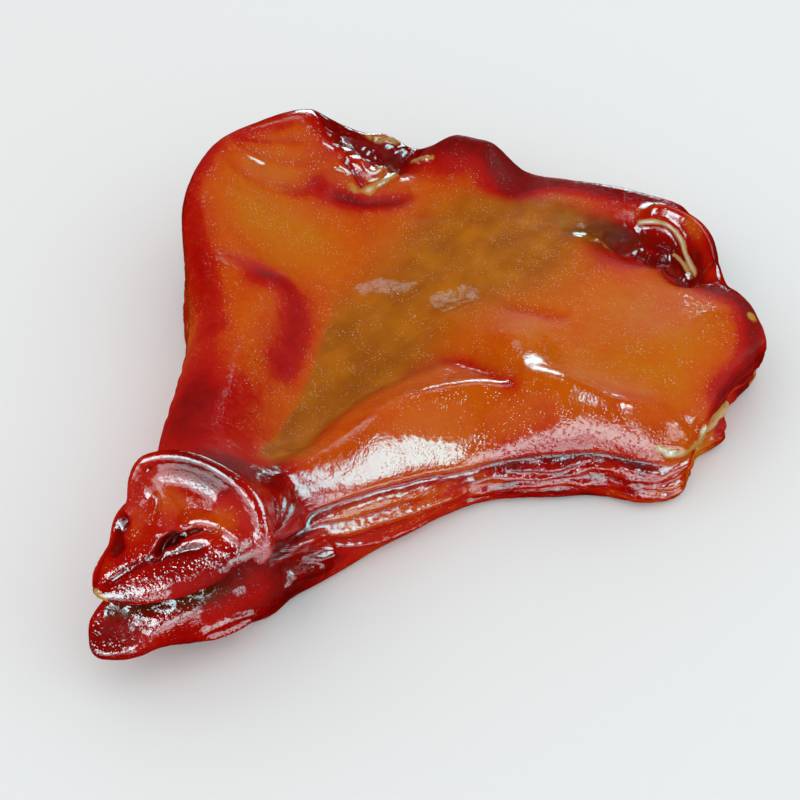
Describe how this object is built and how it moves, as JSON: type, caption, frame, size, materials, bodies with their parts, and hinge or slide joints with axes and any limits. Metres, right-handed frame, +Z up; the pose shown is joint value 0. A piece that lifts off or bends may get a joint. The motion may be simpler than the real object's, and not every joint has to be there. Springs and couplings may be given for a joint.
{
  "type": "cured pig snout",
  "caption": "Boned, pressed and cured pig face in one glossy amber-red slab, with the snout disc and parted lips at one end and folded jowl lobes at the other.",
  "frame": {"origin": "under the middle of the whole piece, on the surface that it rests on", "axes": "+Y from the snout to the nape, +X to the right seen from the snout, +Z up"},
  "size_m": [0.2646, 0.347, 0.0769],
  "materials": {
    "cured_skin": "glossy cured rind, amber to deep red, with wet-looking highlights"
  },
  "bodies": {
    "root": {"pig_snout": "cured_skin"}
  },
  "joints": []
}
